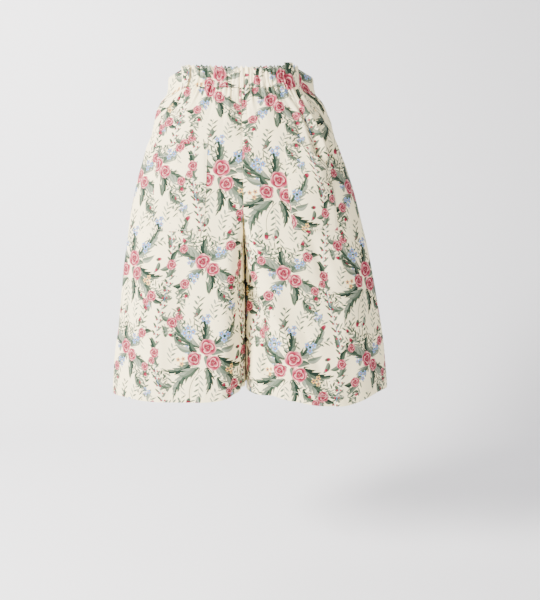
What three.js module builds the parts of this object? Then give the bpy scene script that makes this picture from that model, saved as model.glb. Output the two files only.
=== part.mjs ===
// A pair of women's culottes in the shape they take when worn, in millimetres, +Z up.
// The back faces +Y, the wearer's left is +X, and the origin is the centre of the waist,
// half way up the waistband at its sides. Every cut piece of cloth is a wall of its own.
import * as THREE from "three";

// ---------------------------------------------------------------- driving dimensions

const PANEL_WALL = 2.0; // thickness of the leg panels
const BAND_WALL = 2.6; // the waistband is folded cloth over elastic
const PATCH_WALL = 1.6; // pockets and belt loops
const SEAM_GAP = 0.3; // space kept between neighbouring pieces

const BAND_TOP = 20;
const BAND_BOTTOM = -20;
const BACK_DIP = 17; // how far the waist sinks at the centre back
const FRONT_SAG = 9; // how far the front band sags where it stands away from the body
const SAG_AT = 1.74;
const SAG_WIDTH = 0.16;
const DIP_END_Z = -150; // below here the rows are level again
const SEAT_Z = -272; // the legs begin to part here
const CROTCH_Z = -366; // and have parted here
const HEM_Z = -631;
const FLANK_GAP = 2.2; // the inner flanks of the legs stay this far from the middle plane
const PARTING_SPAN = 24; // height over which the legs draw apart by that much

const GATHERS_PER_SIDE = 15; // across half of the elastic back band
const GATHER_DEPTH = 1.3;
const GATHER_UNEVENNESS = 0.35; // share by which one gather is deeper than another
const GATHER_DRIFT = 0.37; // how fast that changes from gather to gather
const GATHER_FADE_Z = -118; // the puckers below the band have died out here
const FINE_END_Z = -75; // below here only every other gather runs on
const WIDE_START_Z = -10;
const PUCKER_SPAN = 50; // over which fine gathers give way to wide ones
const WIDE_DEPTH = 1.6; // times the depth of a fine gather
const COLUMNS_PER_GATHER = 4;
const TURN_GATHERS = 2; // gathers that lie between the middle seam and the turn line
const TURN_SHARE = TURN_GATHERS / GATHERS_PER_SIDE; // and their share of the way round

const FLARE_REACH = 45; // the front swings out of the side seam over this depth
const SECTION_POWER = 2.3; // 2 would be an ellipse, more is squarer
const FLANK_POWER = 1.6; // the legs' flanks lie together, and then round off to the turn line
const OUTLINE_STEPS = 36;

// Sections of the body, from the waist to the hem. All widths are half-widths.
const SECTIONS = table(
  ["z", "middle", "shift", "side", "seam", "flare", "back", "front", "turnLeft", "turnRight"],
  [
    [34, 5, 9, 112, 30, 1.36, 79, 95, 20, 20],
    [20, 5, 9, 112, 30, 1.36, 79, 95, 20, 20],
    [-20, 4, 8, 114, 30, 1.37, 81, 97, 20, 20],
    [-36, 4, 8, 122, 26, 1.41, 85, 100, 20, 20],
    [-67, 4, 7, 145, 18, 1.29, 92, 104, 20, 20],
    [-103, 3, 6, 173, 9, 1.15, 98, 108, 20, 20],
    [-152, 2, 5, 200, 0, 1.03, 103, 112, 20, 20],
    [-200, 1, 3, 217, 0, 1.0, 106, 115, 20, 20],
    [-249, 0, 1, 230, 0, 1.0, 108, 117, 21, 21],
    [-298, 0, -1, 240, 0, 1.0, 109, 118, 23, 25],
    [-348, 0, -3, 249, 0, 1.0, 111, 120, 30, 38],
    [-398, 0, -5, 257, 0, 1.0, 113, 121, 37, 52],
    [-448, 0, -7, 264, 0, 1.0, 116, 123, 42, 64],
    [-499, 0, -8, 271, 0, 1.0, 119, 125, 46, 74],
    [-550, 0, -8, 278, 0, 1.0, 122, 127, 50, 82],
    [-602, 0, -8, 283, 0, 1.0, 125, 129, 53, 88],
    [-650, 0, -8, 285, 0, 1.0, 127, 131, 55, 92],
  ]
);

const FOLD_GROWTH = 0.3; // share of a crease's length over which it rises
const FOLD_DECAY = 0.35; // and over which it dies out, if it ends above the hem

// Main creases. "from" and "to" give the place across the panel at the upper and lower end:
// 0 is the middle seam or inseam, 1 the turn line, 2 the side seam. Depth is outwards.
const FOLDS = table(
  ["leg", "face", "from", "to", "top", "bottom", "width", "depth"],
  [
    ["left", "back", 0.0, 0.0, -24, -150, 11, -4],
    ["right", "back", 0.0, 0.0, -24, -150, 11, -4],
    ["left", "back", 1.86, 1.6, -36, -160, 9, 3],
    ["left", "back", 1.94, 1.8, -40, -176, 8, 3],
    ["left", "back", 0.45, 0.4, -380, HEM_Z, 9, 4],
    ["left", "back", 0.72, 0.74, -400, HEM_Z, 9, -4],
    ["left", "back", 1.3, 1.28, -360, HEM_Z, 30, -4],
    ["left", "back", 1.72, 1.7, -300, HEM_Z, 28, -5],
    ["right", "back", 1.6, 1.64, -40, -176, 9, 3.5],
    ["right", "back", 1.74, 1.74, -40, -190, 9, -3.5],
    ["right", "back", 1.86, 1.84, -36, -180, 8, 3.5],
    ["right", "back", 0.55, 0.8, -372, HEM_Z, 20, -16],
    ["right", "back", 0.9, 1.16, -390, HEM_Z, 18, 5],
    ["right", "back", 1.36, 1.42, -296, -430, 14, -5],
    ["right", "back", 1.74, 1.7, -310, HEM_Z, 28, -5],
    ["left", "front", 0.6, 0.66, -380, HEM_Z, 14, -6],
    ["left", "front", 1.26, 1.3, -340, HEM_Z, 30, -6],
    ["left", "front", 1.7, 1.66, -250, HEM_Z, 28, -5],
    ["left", "front", 1.5, 1.44, -24, -170, 16, 4],
    ["right", "front", 0.5, 0.7, -390, HEM_Z, 13, -6],
    ["right", "front", 1.32, 1.28, -320, HEM_Z, 30, -6],
    ["right", "front", 1.66, 1.72, -270, HEM_Z, 28, -5],
    ["right", "front", 1.54, 1.5, -24, -160, 16, 4],
  ]
);

// How far the hem is lifted, at places across each leg.
const HEM_LIFT = table(
  ["across", "left", "right"],
  [
    [0, 20, 12],
    [0.5, 20, 13],
    [0.8, 10, 10],
    [1.0, 4, 5],
    [1.2, 1, -4],
    [1.4, 0, -7],
    [1.65, 0, 5],
    [1.85, -2, 9],
    [2, -3, 1],
  ]
);

const POCKETS = table(
  ["leg", "near", "far", "top", "bottom", "sag", "gape", "bow"],
  [
    ["left", 1.19, 1.63, -142, -305, 0, 2, 1.2],
    ["right", 1.25, 1.64, -142, -303, 42, 12, 1.6],
  ]
);
const SLACK_FROM = 0.28; // a slack mouth starts to hang here, 0 near to 1 far
const SLACK_FULL = 0.84; // and is lowest here
const SLACK_HELD = 0.55; // the share of it that its far corner holds up
const POCKET_NARROWING = 0.14; // the flared panel widens, the straight-cut pocket doesn't
const POCKET_LIFT = 0.8; // from the panel's outside to the pocket's inside

const LOOPS = table(
  ["leg", "fromSeam", "width", "top", "bottom", "stand"],
  [
    ["left", 34, 16, 18, -24, 2.4],
    ["right", 43, 18, 24, -23, 3.6],
  ]
);
const LOOP_LIFT = 0.3;

const CLOTH = { color: 0xe9e0d2, roughness: 0.85, metalness: 0 };

// ---------------------------------------------------------------- small helpers

function table(columns, rows) {
  return rows.map((row) => Object.fromEntries(columns.map((name, i) => [name, row[i]])));
}

function clamp01(value) {
  return Math.min(1, Math.max(0, value));
}

function smoothStep(value) {
  const t = clamp01(value);
  return t * t * (3 - 2 * t);
}

// Reads one column of a table at a value of its key, with a smooth curve through its rows.
function readColumn(rows, name, key, value) {
  const list = rows[0][key] < rows.at(-1)[key] ? rows : [...rows].reverse();
  const last = list.length - 1;
  if (value <= list[0][key]) return list[0][name];
  if (value >= list[last][key]) return list[last][name];
  let i = 0;
  while (list[i + 1][key] < value) i += 1;
  const [a, b] = [list[i], list[i + 1]];
  const before = list[Math.max(0, i - 1)];
  const after = list[Math.min(last, i + 2)];
  const span = b[key] - a[key];
  const slopeA = ((b[name] - before[name]) / (b[key] - before[key])) * span;
  const slopeB = ((after[name] - a[name]) / (after[key] - a[key])) * span;
  const t = (value - a[key]) / span;
  const risenBy = t * t * (3 - 2 * t);
  const bend = t * (1 - t);
  return a[name] + (b[name] - a[name]) * risenBy + bend * (slopeA * (1 - t) - slopeB * t);
}

// ---------------------------------------------------------------- the garment's surface

const LEG_SIGN = { left: 1, right: -1 };
const FACE_SIGN = { back: 1, front: -1 };

function section(z) {
  const names = Object.keys(SECTIONS[0]);
  return Object.fromEntries(names.map((name) => [name, readColumn(SECTIONS, name, "z", z)]));
}

// How far the middle seam has run in under the body: 1 on the seat, 0 at the inseam.
function seatShare(z) {
  return 1 - smoothStep((SEAT_Z - z) / (SEAT_Z - CROTCH_Z));
}

// One leg panel's line round the body at height z, as an inner and an outer stretch.
function outline(leg, face, z) {
  const cut = section(z);
  const sign = LEG_SIGN[leg];
  const turn = leg === "left" ? cut.turnLeft : cut.turnRight;
  const depth = cut[face];
  const seamDepth = FACE_SIGN[face] * cut.seam;
  const halfWidth = cut.side + sign * (cut.shift - cut.middle);
  const parting = smoothStep(0.5 + (SEAT_Z - z) / PARTING_SPAN);
  const start = SEAM_GAP / 2 + parting * (FLANK_GAP - SEAM_GAP / 2);
  const edgeDepth = depth * seatShare(z);
  const power = 2 / SECTION_POWER;
  const inner = [];
  const outer = [];
  for (let i = 0; i <= OUTLINE_STEPS; i += 1) {
    const angle = ((i / OUTLINE_STEPS) * Math.PI) / 2;
    inner.push([
      start + turn * (1 - Math.cos(angle)) ** FLANK_POWER,
      edgeDepth + (depth - edgeDepth) * Math.sin(angle),
    ]);
    outer.push([
      start + turn + (halfWidth - start - turn) * Math.sin(angle) ** power,
      seamDepth + (depth - seamDepth) * Math.cos(angle) ** power,
    ]);
  }
  const flare = face === "front" ? cut.flare - 1 : 0;
  const place = ([across, deep]) => {
    const swing = 1 + flare * smoothStep((deep - seamDepth) / FLARE_REACH);
    return new THREE.Vector2(cut.middle + sign * across * swing, FACE_SIGN[face] * deep);
  };
  return [inner.map(place), outer.map(place)];
}

function lineLengths(points) {
  const lengths = [0];
  for (let i = 1; i < points.length; i += 1) {
    lengths.push(lengths[i - 1] + points[i].distanceTo(points[i - 1]));
  }
  return lengths;
}

// A point of the undisturbed surface, with its distance from the turn line.
function basePoint(leg, face, across, z) {
  const part = across <= 1 ? 0 : 1;
  const share = clamp01(across - part);
  const points = outline(leg, face, z)[part];
  const lengths = lineLengths(points);
  const total = lengths[lengths.length - 1];
  const target = share * total;
  let i = 1;
  while (i < points.length - 1 && lengths[i] < target) i += 1;
  const step = (target - lengths[i - 1]) / (lengths[i] - lengths[i - 1]);
  const flat = points[i - 1].clone().lerp(points[i], step);
  return {
    point: new THREE.Vector3(flat.x, flat.y, z),
    along: part === 0 ? target - total : target,
  };
}

function outward(leg, face, across, z) {
  const nudge = 0.01;
  const rise = 1;
  const left = basePoint(leg, face, Math.max(0, across - nudge), z).point;
  const right = basePoint(leg, face, Math.min(2, across + nudge), z).point;
  const low = basePoint(leg, face, across, z - rise).point;
  const high = basePoint(leg, face, across, z + rise).point;
  const normal = high.sub(low).cross(right.sub(left)).normalize();
  return normal.multiplyScalar(LEG_SIGN[leg] * FACE_SIGN[face]);
}

function foldHeight(leg, face, across, z, along) {
  let height = 0;
  for (const fold of FOLDS) {
    if (fold.leg !== leg || fold.face !== face) continue;
    const down = (fold.top - z) / (fold.top - fold.bottom);
    const open = fold.bottom === HEM_Z ? 1 : smoothStep((1 - down) / FOLD_DECAY);
    const strength = smoothStep(down / FOLD_GROWTH) * open;
    if (strength <= 0) continue;
    const centre = fold.from + (fold.to - fold.from) * clamp01(down);
    const distance = along - basePoint(leg, face, centre, z).along;
    height += fold.depth * strength * Math.exp(-((distance / fold.width) ** 2));
  }
  return height;
}

// The share of the way round the waist from the middle seam to the side seam.
function waistShare(across) {
  return across <= 1 ? across * TURN_SHARE : TURN_SHARE + (across - 1) * (1 - TURN_SHARE);
}

function gatherHeight(leg, across, z) {
  const phase = waistShare(across) * GATHERS_PER_SIDE * 2 * Math.PI;
  const uneven = 1 + GATHER_UNEVENNESS * Math.sin(phase * GATHER_DRIFT + LEG_SIGN[leg]);
  const fade = smoothStep((z - GATHER_FADE_Z) / (BAND_BOTTOM - GATHER_FADE_Z));
  const fine = Math.cos(phase) * smoothStep((z - FINE_END_Z) / PUCKER_SPAN);
  const wide = WIDE_DEPTH * Math.cos(phase / 2) * smoothStep((WIDE_START_Z - z) / PUCKER_SPAN);
  return GATHER_DEPTH * uneven * fade * (fine + wide);
}

// How far the waist hangs below its level at the sides.
function waistDrop(face, across, z) {
  const fade = smoothStep((z - DIP_END_Z) / (BAND_BOTTOM - DIP_END_Z));
  const back = BACK_DIP * (1 - waistShare(across) ** 2);
  const front = FRONT_SAG * Math.exp(-(((across - SAG_AT) / SAG_WIDTH) ** 2));
  return fade * (face === "back" ? back : front);
}

// The finished middle surface of a piece: its point, and the way out of the body there.
function clothPoint(leg, face, across, level) {
  const z = level - waistDrop(face, across, level);
  const { point, along } = basePoint(leg, face, across, z);
  const normal = outward(leg, face, across, z);
  let height = level < BAND_BOTTOM ? foldHeight(leg, face, across, z, along) : 0;
  if (face === "back") height += gatherHeight(leg, across, level);
  return { point: point.addScaledVector(normal, height), normal };
}

// ---------------------------------------------------------------- walls

// Keeps a corner of a wall on its own side of the seams it ends at.
function keepToSide(point, leg, face) {
  const { middle, seam } = section(point.z);
  const sign = LEG_SIGN[leg];
  const across = Math.max(SEAM_GAP / 2, sign * (point.x - middle));
  const deep = Math.max(SEAM_GAP / 2, FACE_SIGN[face] * (point.y - seam));
  return point.set(middle + sign * across, seam + FACE_SIGN[face] * deep, point.z);
}

function wallCorner(leg, face, across, level, wall, lift = 0) {
  const { point, normal } = clothPoint(leg, face, across, level);
  const outer = point.clone().addScaledVector(normal, lift + wall / 2);
  const inner = point.addScaledVector(normal, lift - wall / 2);
  return { outer: keepToSide(outer, leg, face), inner: keepToSide(inner, leg, face) };
}

// Triangles between two rows of corners, which may have different numbers of columns.
function zipRows(upper, lower, emit) {
  let i = 0;
  let j = 0;
  const lastUpper = upper.ids.length - 1;
  const lastLower = lower.ids.length - 1;
  while (i < lastUpper || j < lastLower) {
    const upperNext = i < lastUpper && (j === lastLower || upper.at[i + 1] <= lower.at[j + 1]);
    if (upperNext) {
      emit(upper.ids[i], upper.ids[i + 1], lower.ids[j]);
      i += 1;
    } else {
      emit(upper.ids[i], lower.ids[j + 1], lower.ids[j]);
      j += 1;
    }
  }
}

// Closes rows of paired corners, from the top row down, into one solid wall.
function wallGeometry(rows) {
  const positions = [];
  const faces = [];
  const store = ({ x, y, z }) => positions.push(x, y, z) / 3 - 1;
  const outer = rows.map((row) => ({ at: row.at, ids: row.corners.map((c) => store(c.outer)) }));
  const inner = rows.map((row) => ({ at: row.at, ids: row.corners.map((c) => store(c.inner)) }));
  const quad = (a, b, c, d) => faces.push([a, b, c], [a, c, d]);
  const last = rows.length - 1;
  for (let r = 0; r < last; r += 1) {
    zipRows(outer[r], outer[r + 1], (a, b, c) => faces.push([a, b, c]));
    zipRows(inner[r], inner[r + 1], (a, b, c) => faces.push([c, b, a]));
    const [upper, under] = [outer[r].ids, inner[r].ids];
    const [upperNext, underNext] = [outer[r + 1].ids, inner[r + 1].ids];
    quad(upper[0], upperNext[0], underNext[0], under[0]);
    quad(upperNext.at(-1), upper.at(-1), under.at(-1), underNext.at(-1));
  }
  for (let i = 0; i + 1 < outer[0].ids.length; i += 1) {
    quad(outer[0].ids[i + 1], outer[0].ids[i], inner[0].ids[i], inner[0].ids[i + 1]);
  }
  for (let i = 0; i + 1 < outer[last].ids.length; i += 1) {
    const [a, b] = [outer[last].ids, inner[last].ids];
    quad(a[i], a[i + 1], b[i + 1], b[i]);
  }
  return facingOut(positions, faces);
}

function facingOut(positions, faces) {
  const corner = (id) => new THREE.Vector3().fromArray(positions, id * 3);
  let volume = 0;
  for (const [a, b, c] of faces) volume += corner(a).dot(corner(b).cross(corner(c)));
  const turned = volume < 0 ? faces.map(([a, b, c]) => [a, c, b]) : faces;
  const geometry = new THREE.BufferGeometry();
  geometry.setAttribute("position", new THREE.Float32BufferAttribute(positions, 3));
  geometry.setIndex(turned.flat());
  geometry.computeVertexNormals();
  return geometry;
}

function piece(name, rows) {
  const mesh = new THREE.Mesh(wallGeometry(rows), new THREE.MeshStandardMaterial(CLOTH));
  mesh.name = name;
  return mesh;
}

function steps(from, to, count) {
  return Array.from({ length: count + 1 }, (_, i) => from + ((to - from) * i) / count);
}

// Places across a panel: some columns up to the turn line, the others on to the side seam.
function columns(innerCount, outerCount) {
  return [...steps(0, 1, innerCount), ...steps(1, 2, outerCount).slice(1)];
}

// ---------------------------------------------------------------- leg panels

function hemLift(leg, across, level) {
  const share = smoothStep((CROTCH_Z - level) / (CROTCH_Z - HEM_Z));
  return readColumn(HEM_LIFT, leg, "across", across) * share;
}

function legRow(leg, face, level, across) {
  const corners = across.map((at) =>
    wallCorner(leg, face, at, level + hemLift(leg, at, level), PANEL_WALL)
  );
  return { at: across, corners };
}

function legLevels() {
  const top = BAND_BOTTOM - SEAM_GAP;
  const seat = steps(GATHER_FADE_Z, SEAT_Z, 6).slice(1);
  const crotch = steps(SEAT_Z, CROTCH_Z, 5);
  const leg = steps(CROTCH_Z, HEM_Z, 9);
  return {
    gathered: [0, 10, 24, 44, 68, top - GATHER_FADE_Z].map((below) => top - below),
    plain: [...seat, ...crotch.slice(1), ...leg.slice(1)],
  };
}

// The band and the panel sewn to it have the same columns, so that their edges follow.
function gatheredColumns() {
  const restGathers = GATHERS_PER_SIDE - TURN_GATHERS;
  return columns(TURN_GATHERS * COLUMNS_PER_GATHER, restGathers * COLUMNS_PER_GATHER);
}

function plainColumns() {
  return columns(4, 16);
}

function backLeg(leg) {
  const levels = legLevels();
  const fine = gatheredColumns();
  const coarse = columns(5, 17);
  return piece(`back_leg_${leg}`, [
    ...levels.gathered.map((level) => legRow(leg, "back", level, fine)),
    ...levels.plain.map((level) => legRow(leg, "back", level, coarse)),
  ]);
}

function frontLeg(leg) {
  const levels = legLevels();
  const across = plainColumns();
  const all = [...levels.gathered, ...levels.plain];
  return piece(`front_leg_${leg}`, all.map((level) => legRow(leg, "front", level, across)));
}

// ---------------------------------------------------------------- waistband

// A band runs from the right side seam over the middle to the left side seam.
function bandRow(face, level, half) {
  const corner = (leg) => (at) => wallCorner(leg, face, at, level, BAND_WALL);
  const right = [...half].reverse().slice(0, -1);
  const middle = corner("left")(0);
  for (const point of [middle.outer, middle.inner]) point.x = section(level).middle;
  return {
    at: [...right.map((at) => -at), ...half],
    corners: [...right.map(corner("right")), middle, ...half.slice(1).map(corner("left"))],
  };
}

function band(name, face, half, rowCount) {
  const levels = steps(BAND_TOP, BAND_BOTTOM, rowCount);
  return piece(name, levels.map((level) => bandRow(face, level, half)));
}

// ---------------------------------------------------------------- pockets

function pocketAcross(pocket, share, down) {
  const span = (pocket.far - pocket.near) * (1 - POCKET_NARROWING * down);
  return pocket.near + span * share;
}

function mouthSlack(share) {
  const held = smoothStep((share - SLACK_FULL) / (1 - SLACK_FULL));
  return smoothStep((share - SLACK_FROM) / (SLACK_FULL - SLACK_FROM)) * (1 - SLACK_HELD * held);
}

function pocketCorner(pocket, share, down) {
  const slack = mouthSlack(share);
  const edge = pocket.top - pocket.sag * slack * (1 - down) ** 2;
  const level = edge + (pocket.bottom - edge) * down;
  const across = pocketAcross(pocket, share, down);
  const side = Math.sin(share * Math.PI);
  const mouth = pocket.gape * side * (0.4 + slack) * (1 - down) ** 2;
  const bow = pocket.bow * side * Math.sin(down * Math.PI);
  const lift = PANEL_WALL / 2 + POCKET_LIFT + PATCH_WALL / 2 + mouth + bow;
  return wallCorner(pocket.leg, "back", across, level, PATCH_WALL, lift);
}

function patchPocket(pocket) {
  const across = steps(0, 1, 10);
  const rows = steps(0, 1, 9).map((down) => ({
    at: across,
    corners: across.map((share) => pocketCorner(pocket, share, down)),
  }));
  return piece(`pocket_${pocket.leg}`, rows);
}

// ---------------------------------------------------------------- belt loops

// A point on the plain band, without its gathers, at a distance from the side seam.
function bandPoint(leg, fromSeam, level, lift) {
  const quarter = basePoint(leg, "back", 2, level).along;
  const across = 2 - fromSeam / quarter;
  const z = level - waistDrop("back", across, level);
  const normal = outward(leg, "back", across, z);
  return basePoint(leg, "back", across, z).point.addScaledVector(normal, lift);
}

function beltLoop(loop) {
  const nearest = BAND_WALL / 2 + GATHER_DEPTH * (1 + GATHER_UNEVENNESS) + LOOP_LIFT + PATCH_WALL / 2;
  const across = steps(-0.5, 0.5, 3);
  const rows = steps(0, 1, 8).map((down) => {
    const level = loop.top + (loop.bottom - loop.top) * down;
    const lift = nearest + loop.stand * Math.sin(down * Math.PI) ** 0.6;
    const corners = across.map((share) => {
      const fromSeam = loop.fromSeam + loop.width * share;
      return {
        outer: bandPoint(loop.leg, fromSeam, level, lift + PATCH_WALL / 2),
        inner: bandPoint(loop.leg, fromSeam, level, lift - PATCH_WALL / 2),
      };
    });
    return { at: across, corners };
  });
  return piece(`belt_loop_${loop.leg}`, rows);
}

// ---------------------------------------------------------------- the whole garment

const culottes = new THREE.Group();
for (const leg of ["left", "right"]) culottes.add(backLeg(leg), frontLeg(leg));
culottes.add(band("waistband_back", "back", gatheredColumns(), 2));
culottes.add(band("waistband_front", "front", plainColumns(), 2));
for (const pocket of POCKETS) culottes.add(patchPocket(pocket));
for (const loop of LOOPS) culottes.add(beltLoop(loop));

export default culottes;
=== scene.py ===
"""Printed cotton culottes in worn shape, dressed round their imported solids.

The cloth follows the solids' own sections and folds, at a finer pitch and with finer folds.
Sizes below are in millimetres, as in the solids, and the meshes are made in metres.
"""

import math
from functools import partialmethod

import bpy
import numpy as np
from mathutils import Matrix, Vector


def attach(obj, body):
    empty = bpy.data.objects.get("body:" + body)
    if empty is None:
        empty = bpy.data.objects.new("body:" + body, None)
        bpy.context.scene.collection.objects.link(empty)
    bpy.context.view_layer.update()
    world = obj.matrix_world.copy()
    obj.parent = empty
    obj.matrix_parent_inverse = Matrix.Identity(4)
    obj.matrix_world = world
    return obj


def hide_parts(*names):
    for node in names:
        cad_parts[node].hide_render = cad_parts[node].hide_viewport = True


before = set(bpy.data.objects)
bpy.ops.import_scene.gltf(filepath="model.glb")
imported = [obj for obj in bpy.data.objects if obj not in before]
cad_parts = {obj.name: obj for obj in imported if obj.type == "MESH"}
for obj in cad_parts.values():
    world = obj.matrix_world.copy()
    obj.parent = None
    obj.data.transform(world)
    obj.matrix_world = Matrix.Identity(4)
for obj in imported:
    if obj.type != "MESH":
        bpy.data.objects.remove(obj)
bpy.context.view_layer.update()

# ---- driving dimensions

MM = 0.001
BODY = "root"

BAND_TOP = 20
BAND_BOTTOM = -20
BAND_WALL = 2.6
PATCH_WALL = 1.6
SEAM_GAP = 0.3
BACK_DIP = 17
FRONT_SAG = 9
SAG_AT = 1.74
SAG_WIDTH = 0.16
DIP_END_Z = -150
SEAT_Z = -272
CROTCH_Z = -366
HEM_Z = -631
FLANK_GAP = 1.1
PARTING_SPAN = 24
FLARE_REACH = 45
SECTION_POWER = 2.3
GRAIN_AT_HIP = 75  # where the straight grain runs, from the middle
GRAIN_SWING = 30
GRAIN_SPAN = 300
FLANK_POWER = 1.6

GATHERS_PER_SIDE = 15
GATHER_DEPTH = 1.3
GATHER_UNEVENNESS = 0.35
GATHER_RELIEF = 1.5
GATHER_DRIFT = 0.37
GATHER_FADE_Z = -118
GATHER_FULLNESS = 0.32  # how much wider the flat cloth is at the waist
FULLNESS_END_Z = -120
FULLNESS_SPAN = 90
FINE_END_Z = -75
WIDE_START_Z = -10
PUCKER_SPAN = 50
WIDE_DEPTH = 1.6
TURN_SHARE = 2 / 15

CLOTH = 0.8  # thickness of the single cloth
RIPPLE_DEPTH = 0.6
FOLD_GROWTH = 0.3
FOLD_DECAY = 0.35

LEG_SIGN = {"left": 1, "right": -1}
FACE_SIGN = {"back": 1, "front": -1}


def table(columns, rows):
    return [dict(zip(columns.split(), row)) for row in rows]


# The same sections as the solids have, from the waist to the hem, in half-widths.
SECTIONS = table("z middle shift side seam flare back front turn_left turn_right", [
    (34, 5, 9, 112, 30, 1.36, 79, 95, 20, 20),
    (20, 5, 9, 112, 30, 1.36, 79, 95, 20, 20),
    (-20, 4, 8, 114, 30, 1.37, 81, 97, 20, 20),
    (-36, 4, 8, 122, 26, 1.41, 85, 100, 20, 20),
    (-67, 4, 7, 145, 18, 1.29, 92, 104, 20, 20),
    (-103, 3, 6, 173, 9, 1.15, 98, 108, 20, 20),
    (-152, 2, 5, 200, 0, 1.03, 103, 112, 20, 20),
    (-200, 1, 3, 217, 0, 1.0, 106, 115, 20, 20),
    (-249, 0, 1, 230, 0, 1.0, 108, 117, 21, 21),
    (-298, 0, -1, 240, 0, 1.0, 109, 118, 23, 25),
    (-348, 0, -3, 249, 0, 1.0, 111, 120, 30, 38),
    (-398, 0, -5, 257, 0, 1.0, 113, 121, 37, 52),
    (-448, 0, -7, 264, 0, 1.0, 116, 123, 42, 64),
    (-499, 0, -8, 271, 0, 1.0, 119, 125, 46, 74),
    (-550, 0, -8, 278, 0, 1.0, 122, 127, 50, 82),
    (-602, 0, -8, 283, 0, 1.0, 125, 129, 53, 88),
    (-650, 0, -8, 285, 0, 1.0, 127, 131, 55, 92),
])

# Creases of the solids, then the finer ones, on each panel. 0 is the middle seam or inseam,
# 1 the turn line, 2 the side seam. A crispness of 2 is a soft ridge, and less is a sharper one.
FOLD_COLUMNS = "start end top bottom width depth crispness"
MAIN_FOLDS = {
    ("left", "back"): [
        (0.0, 0.0, -24, -150, 11, -4, 2),
        (1.86, 1.6, -36, -160, 9, 3, 1.7),
        (1.94, 1.8, -40, -176, 8, 3, 1.7),
        (0.45, 0.4, -380, HEM_Z, 9, 4, 2),
        (0.72, 0.74, -400, HEM_Z, 9, -4, 2),
        (1.3, 1.28, -360, HEM_Z, 30, -4, 2),
        (1.72, 1.7, -300, HEM_Z, 28, -5, 2),
    ],
    ("right", "back"): [
        (0.0, 0.0, -24, -150, 11, -4, 2),
        (1.6, 1.64, -40, -176, 9, 3.5, 1.7),
        (1.74, 1.74, -40, -190, 9, -3.5, 1.7),
        (1.86, 1.84, -36, -180, 8, 3.5, 1.7),
        (0.55, 0.8, -372, HEM_Z, 20, -16, 2),
        (0.9, 1.16, -390, HEM_Z, 18, 5, 2),
        (1.36, 1.42, -296, -430, 14, -5, 2),
        (1.74, 1.7, -310, HEM_Z, 28, -5, 2),
    ],
    ("left", "front"): [
        (0.6, 0.66, -380, HEM_Z, 14, -6, 2),
        (1.26, 1.3, -340, HEM_Z, 30, -6, 2),
        (1.7, 1.66, -250, HEM_Z, 28, -5, 2),
        (1.5, 1.44, -24, -170, 16, 4, 2),
    ],
    ("right", "front"): [
        (0.5, 0.7, -390, HEM_Z, 13, -6, 2),
        (1.32, 1.28, -320, HEM_Z, 30, -6, 2),
        (1.66, 1.72, -270, HEM_Z, 28, -5, 2),
        (1.54, 1.5, -24, -160, 16, 4, 2),
    ],
}
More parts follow.
